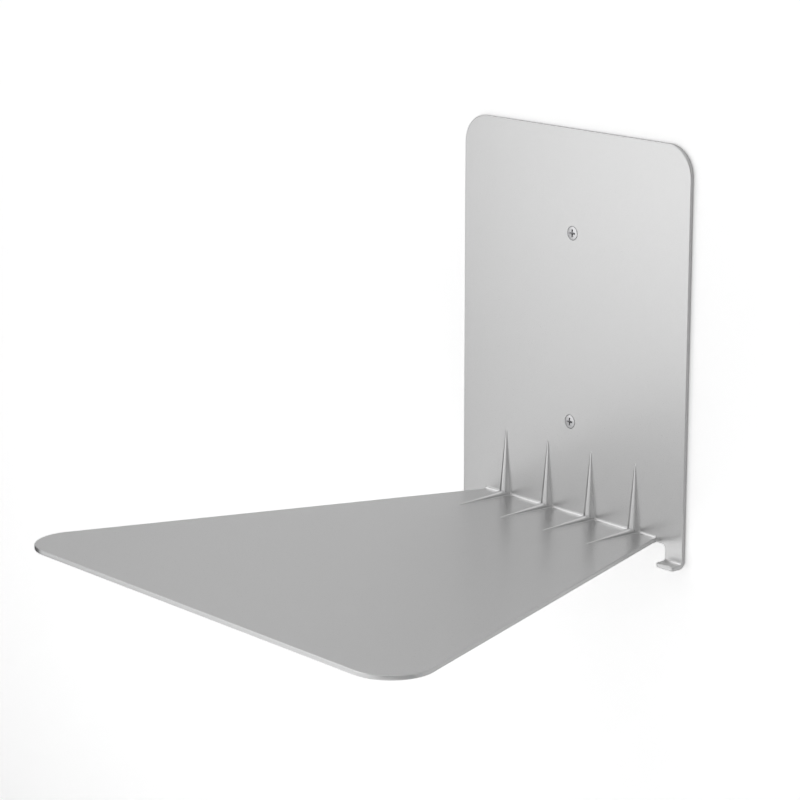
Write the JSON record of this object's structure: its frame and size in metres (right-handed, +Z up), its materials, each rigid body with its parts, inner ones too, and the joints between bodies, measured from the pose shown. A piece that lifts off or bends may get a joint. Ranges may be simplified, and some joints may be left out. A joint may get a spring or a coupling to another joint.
{
  "type": "wall shelf bracket",
  "caption": "L-shaped bent steel wall bracket with a flared shelf plate, stiffening darts and cover hooks; it carries a stack of books that hides it.",
  "frame": {"origin": "on the back face of the wall plate, on the centreline, midway between the two screws", "axes": "+Z up, +Y into the wall, +X to the right seen from the front; the shelf plate runs out along -Y"},
  "size_m": [0.1862, 0.1899, 0.1398],
  "materials": {
    "bracket_steel": "satin silver powder coat",
    "screw_steel": "bright zinc plate",
    "plug_nylon": "light grey nylon"
  },
  "bodies": {
    "root": {"bracket": "bracket_steel", "upper_screw": "screw_steel", "lower_screw": "screw_steel", "upper_wall_plug": "plug_nylon", "lower_wall_plug": "plug_nylon"}
  },
  "joints": []
}
